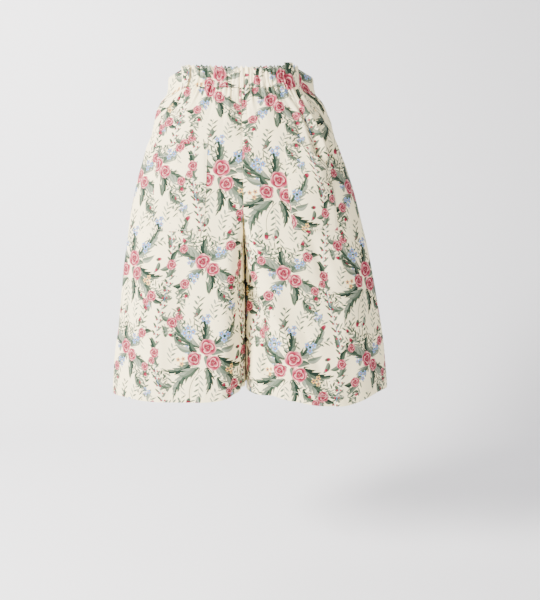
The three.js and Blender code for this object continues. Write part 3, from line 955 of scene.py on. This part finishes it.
CREST_TONES = (DARK_GREEN, LEAF_GREEN, LEAF_GREEN, SAGE, PALE_SAGE)
DARK_TONES = (DARK_GREEN, DARK_GREEN, DARK_GREEN, LEAF_GREEN, SAGE)
CREST_PLACES = (0.0, 0.46, 0.5, 0.53, 1.0)
# A kind with one look has it under its own name.
LOOKS = {
    "rose": [(0, CRIMSON), (0.32, ROSE), (0.64, PINK), (0.86, PALE_PINK), (1, PALE_PINK)],
    "bud": [(0, LEAF_GREEN), (0.34, LEAF_GREEN), (0.42, CRIMSON), (0.75, ROSE), (1, PINK)],
    "blue": [(0, YELLOW), (0.2, OCHRE), (0.26, NAVY), (0.36, BLUE), (0.9, PALE_BLUE)],
    "pale_blue": [(0, OCHRE), (0.2, OCHRE), (0.3, BLUE), (0.9, PALE_BLUE)],
    "gold": [(0, NAVY), (0.26, NAVY), (0.34, OCHRE), (0.9, YELLOW)],
    "leafy": (LEAF_GREEN, SAGE),
    "deep": (DARK_GREEN, LEAF_GREEN),
    "soft": (SAGE, PALE_SAGE),
    "vine": (LEAF_GREEN, SAGE, BLUE),
    "stem": LEAF_GREEN,
    "berries": ROSE,
    "fresh": list(zip(CREST_PLACES, CREST_TONES)),
    "dark": list(zip(CREST_PLACES, DARK_TONES)),
}

# Motifs of the sprays, each measured from its spray's centre, in the order they are laid.
MAIN_SPRAY = [
    ("sprig", [
        (-30, -30, 216, 64, 8, 11, 9.5, "leafy"),
        (34, -22, -36, 60, -8, 11, 9.5, "leafy"),
        (-2, 40, 94, 70, 8, 11, 10, "leafy"),
        (-30, 22, 158, 56, -8, 11, 9.5, "soft"),
        (32, 24, 22, 52, 8, 11, 9.5, "leafy"),
        (-52, 36, 96, 50, -8, 11, 9.5, "leafy"),
        (54, 40, 76, 46, 6, 11, 9.5, "soft"),
        (-12, -40, -104, 62, 8, 11, 9.5, "soft"),
        (44, -40, -84, 50, 8, 11, 9.5, "leafy"),
        (-10, -96, -112, 46, 9, 11, 9, "leafy"),
        (40, -94, -72, 44, -9, 11, 9, "leafy"),
        (-36, 92, 104, 44, 9, 11, 9, "leafy"),
        (34, 88, 74, 46, -9, 11, 9, "leafy"),
    ]),
    ("stem", [
        (-16, 22, 118, 70, 9),
        (18, 18, 52, 68, -10),
        (-4, -30, -112, 66, -10),
        (26, -24, -70, 62, 10),
    ]),
    ("crest", [
        (-8, 12, 128, 88, 23, 14, 6, "fresh"),
        (6, 12, 48, 90, 23, -14, 6, "fresh"),
        (-20, -10, 200, 68, 20, 11, 5, "dark"),
        (24, -4, -14, 66, 20, -11, 5, "dark"),
        (-10, -26, -128, 86, 22, -14, 6, "fresh"),
        (16, -22, -54, 80, 22, 12, 6, "fresh"),
        (-2, 18, 92, 56, 18, -7, 4, "dark"),
        (4, -26, -92, 52, 18, 7, 4, "dark"),
    ]),
    ("leaf", [
        (-26, 6, 158, 34, 12, 4, "soft"),
        (32, 8, 20, 32, 12, -4, "soft"),
        (-18, -28, -150, 34, 12, 4, "leafy"),
        (28, -22, -30, 30, 12, -4, "leafy"),
        (-66, 62, 150, 24, 10, 3, "leafy"),
        (-62, 58, 40, 22, 10, 3, "deep"),
        (-6, -4, 172, 26, 13, 4, "deep"),
        (2, -4, -84, 24, 13, 3, "leafy"),
        (12, 0, 4, 26, 13, 4, "leafy"),
        (-16, 2, 118, 24, 12, 4, "deep"),
        (64, -64, -20, 24, 10, -3, "deep"),
        (60, -62, 200, 22, 10, 3, "leafy"),
    ]),
    ("posy", [
        (-30, 40, 10, 4, 8.5, 6.5, "blue"),
        (38, 34, 25, 3, 7, 6, "blue"),
        (-46, -14, 40, 3, 6, 5, "gold"),
        (50, -30, 60, 3, 6, 5, "gold"),
        (4, 66, 60, 3, 6, 5.5, "blue"),
    ]),
    ("bud", [
        (-50, 82, 112, 7.5),
        (62, 70, 40, 7.5),
        (-32, -92, -104, 7.5),
        (48, -82, -58, 7),
        (-66, 34, 160, 6),
        (72, 10, 10, 6),
    ]),
    ("rose", [
        (-64, 58, 80, 11),
        (-50, 70, 150, 8),
        (62, -60, 10, 11),
        (48, -72, 70, 8),
        (-20, -10, 200, 14),
        (6, 12, 20, 17),
        (17, -17, 100, 14.5),
    ]),
]
SECOND_SPRAY = [
    ("sprig", [
        (-8, -12, 240, 56, -7, 11, 9.5, "leafy"),
        (10, 12, 62, 56, 7, 11, 9.5, "leafy"),
        (-14, 14, 116, 50, 7, 11, 9.5, "soft"),
        (14, -14, -66, 50, 7, 11, 9.5, "soft"),
        (32, -50, -80, 44, 8, 11, 9, "leafy"),
        (-34, -56, -104, 42, -8, 11, 9, "leafy"),
        (34, 50, 82, 42, -8, 11, 9, "leafy"),
        (-36, 46, 100, 42, 8, 11, 9, "leafy"),
    ]),
    ("stem", [
        (-6, 8, 136, 54, -8),
        (8, -8, -44, 54, -8),
    ]),
    ("crest", [
        (-6, 4, 160, 66, 20, -10, 5, "fresh"),
        (8, -2, -20, 66, 20, -10, 5, "fresh"),
        (2, 6, 98, 52, 18, 8, 4, "dark"),
        (0, -6, -82, 52, 18, 8, 4, "dark"),
        (-10, 10, 134, 58, 18, 12, 5, "fresh"),
        (12, -10, -46, 58, 18, 12, 5, "fresh"),
        (6, 8, 52, 50, 17, -10, 4, "fresh"),
        (-6, -8, 232, 50, 17, -10, 4, "fresh"),
    ]),
    ("leaf", [
        (-8, -6, 206, 30, 11, 4, "leafy"),
        (8, 8, 28, 30, 11, 4, "leafy"),
        (-44, -36, 190, 22, 10, 3, "deep"),
        (44, 36, 10, 22, 10, 3, "deep"),
    ]),
    ("posy", [
        (22, 24, 0, 3, 6.5, 5.5, "blue"),
        (-22, -24, 30, 3, 6.5, 5.5, "blue"),
    ]),
    ("bud", [
        (-48, 44, 142, 6.5),
        (48, -42, -38, 6.5),
        (34, 60, 70, 6),
        (-36, -58, -120, 6),
    ]),
    ("rose", [
        (-40, -36, 60, 10),
        (40, 36, 40, 10),
        (-48, 30, 20, 8.5),
        (48, -28, 90, 8.5),
        (-9, 6, 60, 15),
        (12, -8, 10, 13),
    ]),
]
FILLING = [
    ("sprig", [
        (0, -20, 70, 46, 9, 10, 9, "soft"),
        (34, 30, 130, 42, -9, 10, 9, "leafy"),
        (30, 50, 176, 40, 8, 9, 8, "leafy"),
        (-22, -30, -82, 44, 9, 10, 9, "leafy"),
        (28, -34, -100, 44, -9, 10, 9, "soft"),
        (-8, -46, 150, 40, 9, 10, 9, "leafy"),
        (6, 34, 40, 44, -9, 10, 9, "leafy"),
        (-16, 60, 10, 40, 8, 10, 9, "leafy"),
    ]),
    ("crest", [
        (0, -64, 150, 40, 14, 8, 4, "fresh"),
        (4, 40, -40, 38, 14, -8, 4, "dark"),
    ]),
    ("leaf", [
        (12, -56, 30, 26, 10, 3, "leafy"),
        (-12, 30, 110, 26, 10, -3, "leafy"),
        (-30, 4, 240, 24, 10, 3, "leafy"),
        (34, -6, 60, 24, 10, 3, "soft"),
    ]),
    ("bud", [
        (16, 24, 70, 5.5),
        (8, 62, 130, 5.5),
        (-34, -10, 200, 5),
    ]),
    ("posy", [
        (32, 8, 0, 3, 5, 4.5, "pale_blue"),
    ]),
]
TRAIL = [
    ("vine", [(0, 0, 0, 15, 14, 10)]),
    ("berries", [(0, 0, 0, 15, 14)]),
]
# Roses on the trail where it swings to the right, then where it swings to the left.
RIGHT_SWING = [
    ("leaf", [
        (15, 6, 60, 26, 11, 4, "deep"),
        (17, -4, -120, 26, 11, 4, "leafy"),
        (12, -2, 200, 22, 10, 3, "leafy"),
    ]),
    ("rose", [(15, 0, 20, 10)]),
]
LEFT_SWING = [
    ("leaf", [
        (-15, 6, 120, 26, 11, -4, "deep"),
        (-17, -4, -60, 26, 11, -4, "leafy"),
    ]),
    ("rose", [(-15, 0, 70, 10), (-21, -15, 10, 7)]),
]


def floral_print():
    """The whole print as one node group, with its colour as the output."""
    pattern = Print(CREAM)
    layers = [
        (pattern.cell(20, 84, 0.5), FILLING),
        (pattern.cell(REPEAT_WIDTH / 2, 0), TRAIL),
        (pattern.cell(REPEAT_WIDTH / 2, 0), RIGHT_SWING),
        (pattern.cell(REPEAT_WIDTH / 2, REPEAT_HEIGHT / 2), LEFT_SWING),
        (pattern.cell(0, 0), MAIN_SPRAY),
        (pattern.cell(0, REPEAT_HEIGHT / 2), SECOND_SPRAY),
    ]
    for cell, motifs in layers:
        for kind, rows in motifs:
            for row in table(f"x y turn {MOTIFS[kind][1]} look", rows):
                pattern.lay(kind, cell, row)
    return pattern.finish(pattern.colour)


# ---- materials


def plain(name, colour, roughness):
    material = bpy.data.materials.new(name)
    material.use_nodes = True
    shader = material.node_tree.nodes["Principled BSDF"]
    shader.inputs["Base Color"].default_value = colour
    shader.inputs["Roughness"].default_value = roughness
    return material


def emboss(tree, height, strength, distance):
    """Raises a material's surface by a height, with the distance in metres."""
    bump = tree.nodes.new("ShaderNodeBump")
    bump.inputs["Strength"].default_value = strength
    bump.inputs["Distance"].default_value = distance
    tree.links.new(height, bump.inputs["Height"])
    tree.links.new(bump.outputs["Normal"], tree.nodes["Principled BSDF"].inputs["Normal"])


WEAVE_PITCH = 0.55


def cotton(name, print_group, fade):
    """Printed cotton. The wrong side of the cloth is the same print, faded."""
    material = plain(name, CREAM, 0.82)
    tree = material.node_tree
    shader = tree.nodes["Principled BSDF"]
    pattern = tree.nodes.new("ShaderNodeGroup")
    pattern.node_tree = print_group
    colour = pattern.outputs[0]
    if fade:
        mix = tree.nodes.new("ShaderNodeMix")
        mix.data_type = "RGBA"
        mix.inputs["Factor"].default_value = fade
        tree.links.new(colour, mix.inputs[6])
        mix.inputs[7].default_value = CREAM
        colour = mix.outputs[2]
    tree.links.new(colour, shader.inputs["Base Color"])
    shader.inputs["Sheen Weight"].default_value = 0.05
    shader.inputs["Sheen Roughness"].default_value = 0.5
    shader.inputs["Specular IOR Level"].default_value = 0.18
    x, y = flat_place(tree)
    thread = 2 * math.pi / WEAVE_PITCH
    weave = (x * thread).sine() * (y * thread).sine()
    emboss(tree, weave.socket, 0.2, 0.00012)
    return material


def sewing_thread():
    material = plain("sewing_thread", srgb(236, 228, 210), 0.6)
    tree = material.node_tree
    tree.nodes["Principled BSDF"].inputs["Sheen Weight"].default_value = 0.2
    place = tree.nodes.new("ShaderNodeTexCoord")
    twist = tree.nodes.new("ShaderNodeTexWave")
    twist.inputs["Scale"].default_value = 900
    tree.links.new(place.outputs["Object"], twist.inputs["Vector"])
    emboss(tree, twist.outputs["Fac"], 0.4, 0.0001)
    return material


PRINT = floral_print()
OUTSIDE = cotton("printed_cotton_outside", PRINT, 0)
INSIDE = cotton("printed_cotton_inside", PRINT, 0.5)
THREAD = sewing_thread()

# ---- the pieces


def dress(piece):
    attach(piece, BODY)
    return piece


def cloth_piece(node, outer, inner, flat, under=INSIDE):
    """A wall of cloth in place of its solid, with its wrong side's material."""
    piece = dress(shell(f"cloth_{node}", outer, inner, flat, [OUTSIDE, under]))
    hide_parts(node)
    return piece


PANEL_FACE = 0.9  # the cloth's outside, from the solid's middle


def panel_piece(panel):
    leg, face = panel["leg"], panel["face"]
    patch = leg_panel(**panel)
    above = (np.asarray(patch.levels) - HEM_Z)[:, None, None]
    doubled = CLOTH * smooth((HEM_DEPTH - above) / 2)
    outer = keep_to_side(patch.points + patch.normals * PANEL_FACE, leg, face)
    depth = PANEL_FACE - CLOTH - doubled
    inner = keep_to_side(patch.points + patch.normals * depth, leg, face)
    return patch, cloth_piece(f"{face}_leg_{leg}", outer, inner, patch.flat)


def band_crinkle(along, share):
    """Small puffs and creases of the casing between its rows of stitches."""
    puffs = np.sin(along / 2.3 + 4 * np.sin(along / 19)) * np.sin(share * 9 + along / 6.1)
    creases = np.sin(along / 3.7 - share * 7 + 2 * np.sin(along / 31))
    return 0.55 * puffs + 0.6 * creases * np.cos(share * 5 - along / 11)


BAND_HOLLOW = 0.35  # how much flatter the gathers are half way up the band
BAND_PINCH = 0.6  # how much thinner bands and loops are at their edges
EDGE_RIPPLE = 1.2


def band_patch(face, rows=30, half_columns=190):
    """The waistband, from the right side seam over the middle to the left one."""
    half = np.linspace(0, 2, half_columns + 1)
    levels = np.linspace(BAND_TOP, BAND_BOTTOM, rows + 1)
    level, wide = np.meshgrid(levels, half, indexing="ij")
    z = level - waist_drop(face, wide, level)
    halves = {}
    for leg in ("right", "left"):
        points, along = base_surface(leg, face, wide, z)
        points[:, 0, 0] = read_column(SECTIONS, "middle", "z", z[:, 0])
        height = gather_wave(leg, face, wide, level)
        run = Run(leg, face)
        flat = -FACE_SIGN[face] * LEG_SIGN[leg] * (along + run.at("inner", z))
        halves[leg] = points, height, flat * gather_stretch(face, z)
    joined = [
        np.concatenate([right[:, :0:-1], left], axis=1)
        for right, left in zip(halves["right"], halves["left"])
    ]
    across = np.concatenate([-half[:0:-1], half])
    base, height, flat_x = joined
    share = (BAND_TOP - levels)[:, None] / (BAND_TOP - BAND_BOTTOM)
    crinkle = band_crinkle(flat_x, share) if face == "back" else 0
    height = height * (1 - BAND_HOLLOW * np.sin(share * math.pi)) + crinkle
    points, normals = moved_out(base, height, FACE_SIGN[face])
    if face == "back":
        turns = waist_share(np.abs(across)) * GATHERS_PER_SIDE * 2 * math.pi
        ripple = np.cos(turns + np.sin(turns * 0.3)) + 0.7 * np.sin(turns * 1.63 + across)
        points[..., 2] += EDGE_RIPPLE * ripple[None, :] * (1 - share) ** 2
        normals = grid_normals(points, FACE_SIGN[face])
    flat_y = np.broadcast_to(levels[:, None] + BAND_PRINT[1], flat_x.shape)
    flat = np.stack([flat_x + BAND_PRINT[0], flat_y], axis=-1)
    return Patch(across, levels, points, normals, flat)


def band_piece(face):
    patch = band_patch(face)
    share = (BAND_TOP - np.asarray(patch.levels)) / (BAND_TOP - BAND_BOTTOM)
    puffed = BAND_WALL / 2 * (1 - BAND_PINCH * np.abs(2 * share - 1) ** 6)[:, None, None]
    outer = patch.points + patch.normals * puffed
    inner = patch.points - patch.normals * puffed
    for grid in (outer, inner):
        seam = read_column(SECTIONS, "seam", "z", grid[..., 2])
        deep = np.maximum(SEAM_GAP / 3, FACE_SIGN[face] * (grid[..., 1] - seam))
        grid[..., 1] = seam + FACE_SIGN[face] * deep
    return patch, cloth_piece(f"waistband_{face}", outer, inner, patch.flat)


def unit_grid(columns, rows):
    """Shares across and down a patch, from 0 to 1."""
    return np.meshgrid(np.linspace(0, 1, columns + 1), np.linspace(0, 1, rows + 1))


def mouth_slack(share):
    held = smooth((share - SLACK_FULL) / (1 - SLACK_FULL))
    rise = smooth((share - SLACK_FROM) / (SLACK_FULL - SLACK_FROM))
    return rise * (1 - SLACK_HELD * held)


POCKET_SIZE = (108, 163)
POCKET_SEAT = 1.5  # from the panel's middle to the pocket's middle, at its stitched edge
POCKET_PUFF = 0.7
STITCH_INSET = 3
STITCH_PULL = 0.3
MOUTH_HEM = 0.13  # share of the pocket's height that is turned in at its mouth
MOUTH_LAYER = 0.6


def pocket_patch(pocket, panel, columns=90, rows=104):
    share, down = unit_grid(columns, rows)
    slack = mouth_slack(share)
    edge = pocket["top"] - pocket["sag"] * slack * (1 - down) ** 2
    level = edge + (pocket["bottom"] - edge) * down
    span = (pocket["far"] - pocket["near"]) * (1 - POCKET_NARROWING * down)
    across = pocket["near"] + span * share
    side = np.sin(share * math.pi)
    mouth = pocket["gape"] * side * (0.4 + slack) * (1 - down) ** 2
    bow = pocket["bow"] * side * np.sin(down * math.pi)
    from_side = np.minimum(share, 1 - share) * POCKET_SIZE[0]
    border = np.minimum(from_side, (1 - down) * POCKET_SIZE[1])
    pull = STITCH_PULL * np.exp(-(((border - STITCH_INSET) / 1.2) ** 2))
    seated = POCKET_SEAT + POCKET_PUFF * smooth(border / 6) - pull
    points = panel.sample(panel.points, across, level)
    normals = panel.sample(panel.normals, across, level)
    ripple = 0.4 * np.sin(share * 9 + down * 5) * np.sin(down * 7 + 1) * side
    points = points + normals * (seated + mouth + bow + ripple)[..., None]
    sign = LEG_SIGN[pocket["leg"]]
    flat_x = -sign * share * POCKET_SIZE[0] + pocket["print_x"]
    flat = np.stack([flat_x, -down * POCKET_SIZE[1] + pocket["print_y"]], axis=-1)
    return Patch(share[0], -down[:, 0], points, grid_normals(points, sign), flat)


def pocket_piece(pocket, panel):
    patch = pocket_patch(pocket, panel)
    outer = patch.points + patch.normals * CLOTH / 2
    past_hem = 80 * (-np.asarray(patch.levels) - MOUTH_HEM + 0.01)
    turned_in = MOUTH_LAYER * (1 - smooth(past_hem))[:, None, None]
    inner = patch.points - patch.normals * (CLOTH / 2 + turned_in)
    return patch, cloth_piece(f"pocket_{pocket['leg']}", outer, inner, patch.flat)


LOOP_CLEARANCE = 1.1  # from the band's highest gathers


def loop_piece(loop, columns=16, rows=56):
    leg = loop["leg"]
    run = Run(leg, "back")
    share, down = unit_grid(columns, rows)
    share = share - 0.5
    level = loop["top"] + (loop["bottom"] - loop["top"]) * down
    quarter = run.at("outer", level)
    across = 2 - (loop["from_seam"] + loop["width"] * share) / quarter
    z = level - waist_drop("back", across, level)
    base, _ = base_surface(leg, "back", across, z)
    near = BAND_WALL / 2 + GATHER_DEPTH * (1 + GATHER_UNEVENNESS) + LOOP_CLEARANCE
    near = near + PATCH_WALL / 2
    bow = loop["stand"] * np.sin(down * math.pi) ** 0.6
    pucker = 0.8 * np.cos(share * 3.4 * math.pi + 0.6) + 0.4 * np.sin(down * 15 + 5 * share)
    pucker = pucker * np.sin(down * math.pi) ** 0.3
    points, normals = moved_out(base, near + bow + pucker, -LEG_SIGN[leg])
    wall = PATCH_WALL / 2 * (1 - BAND_PINCH * np.abs(2 * share) ** 6)[..., None]
    flat = [share * loop["width"] + loop["print_x"], level + loop["print_y"]]
    outer, inner = points + normals * wall, points - normals * wall
    flat = np.stack(flat, axis=-1)
    return cloth_piece(f"belt_loop_{leg}", outer, inner, flat, OUTSIDE)


panels = {}
cloth = {}
for panel in PANELS:
    leg, face = panel["leg"], panel["face"]
    panels[leg, face], cloth[f"{face}_leg_{leg}"] = panel_piece(panel)
bands = {}
for face in FACE_SIGN:
    bands[face], cloth[f"waistband_{face}"] = band_piece(face)
pockets = {}
for pocket in POCKETS:
    leg = pocket["leg"]
    pockets[leg], cloth[f"pocket_{leg}"] = pocket_piece(pocket, panels[leg, "back"])
for loop in LOOPS:
    cloth[f"belt_loop_{loop['leg']}"] = loop_piece(loop)

# ---- sewing

STITCH_LIFT = 0.05
BAND_STITCHES = (BAND_TOP - 4, BAND_BOTTOM + 3)
ALONG_PANEL = np.linspace(0.03, 1.985, 700)
ALONG_BAND = np.linspace(-1.985, 1.985, 1500)


def hem_stitches(leg):
    lift = PANEL_FACE + STITCH_LIFT
    runs = [
        panels[leg, face].line(ALONG_PANEL, HEM_Z + HEM_DEPTH, lift) for face in FACE_SIGN
    ]
    return dress(stitches(f"hem_stitches_{leg}", runs, THREAD))


def pocket_stitches(leg):
    patch = pockets[leg]
    inset_x, inset_y = (STITCH_INSET / size for size in POCKET_SIZE)
    down = np.linspace(0.02, 1 - inset_y, 300)
    share = np.linspace(inset_x, 1 - inset_x, 300)
    lift = CLOTH / 2 + STITCH_LIFT
    runs = [
        patch.line(inset_x, -down, lift),
        patch.line(1 - inset_x, -down, lift),
        patch.line(share, -(1 - inset_y), lift),
        patch.line(share, -MOUTH_HEM, lift),
    ]
    return dress(stitches(f"pocket_stitches_{leg}", runs, THREAD))


def band_stitches(face):
    patch = bands[face]
    runs = [patch.line(ALONG_BAND, level, BAND_WALL / 2) for level in BAND_STITCHES]
    return dress(stitches(f"waistband_stitches_{face}", runs, THREAD))


sewing = {
    "back_leg_left": hem_stitches("left"),
    "back_leg_right": hem_stitches("right"),
    "pocket_left": pocket_stitches("left"),
    "pocket_right": pocket_stitches("right"),
    "waistband_back": band_stitches("back"),
    "waistband_front": band_stitches("front"),
}

# ---- stage, light and camera

CAMERA_PLACE = (-0.0498, 1.130, -0.349)
CAMERA_PITCH = 4.8
CAMERA_LENS = 32.4
FLOOR_Z = -1.08
WARM = (1.0, 0.965, 0.92)
SKY = srgb(238, 240, 246)
SKY_STRENGTH = 0.66
PAPER = srgb(241, 241, 244)
WALL_Y = -1.5
WALL_TOP = 4.0
FLOOR_END = 5.0
STAGE_HALF = 6.0
SWEEP_RADIUS = 0.5
SWEEP_STEPS = 24
LAMPS = table("name place target size power", [
    ("window", (2.0, 1.5, 0.9), (0, 0, -0.3), 0.8, 322),
    ("fill", (-1.6, 2.4, 0.1), (0, 0, -0.35), 1.8, 36),
    ("backdrop_light", (1.6, -0.3, 1.5), (0.6, -1.5, -0.3), 1.0, 33),
])


def backdrop():
    """A floor that curves up into a wall behind the garment."""
    profile = [(FLOOR_END, FLOOR_Z)]
    for step in range(SWEEP_STEPS + 1):
        angle = math.pi / 2 * step / SWEEP_STEPS
        y = WALL_Y + SWEEP_RADIUS * (1 - math.sin(angle))
        profile.append((y, FLOOR_Z + SWEEP_RADIUS * (1 - math.cos(angle))))
    profile.append((WALL_Y, WALL_TOP))
    points = [(x, y, z) for y, z in profile for x in (-STAGE_HALF, STAGE_HALF)]
    faces = [(2 * i, 2 * i + 1, 2 * i + 3, 2 * i + 2) for i in range(len(profile) - 1)]
    mesh = bpy.data.meshes.new("backdrop")
    mesh.from_pydata(points, [], faces)
    for polygon in mesh.polygons:
        polygon.use_smooth = True
    mesh.materials.append(plain("studio_paper", PAPER, 0.9))
    add_object("backdrop", mesh)


def area_light(name, place, target, size, power):
    light = bpy.data.lights.new(name, "AREA")
    light.color = WARM
    light.shape = "DISK"
    light.size = size
    light.energy = power
    lamp = add_object(name, light)
    lamp.location = place
    aim = Vector(target) - Vector(place)
    lamp.rotation_euler = aim.to_track_quat("-Z", "Y").to_euler()


def camera():
    data = bpy.data.cameras.new("camera")
    data.lens = CAMERA_LENS
    eye = add_object("camera", data)
    eye.location = CAMERA_PLACE
    eye.rotation_euler = (math.radians(90 - CAMERA_PITCH), 0, math.pi)
    bpy.context.scene.camera = eye


def daylight():
    world = bpy.data.worlds.new("studio")
    world.use_nodes = True
    sky = world.node_tree.nodes["Background"]
    sky.inputs["Color"].default_value = SKY
    sky.inputs["Strength"].default_value = SKY_STRENGTH
    bpy.context.scene.world = world


backdrop()
daylight()
for lamp in LAMPS:
    area_light(**lamp)
camera()
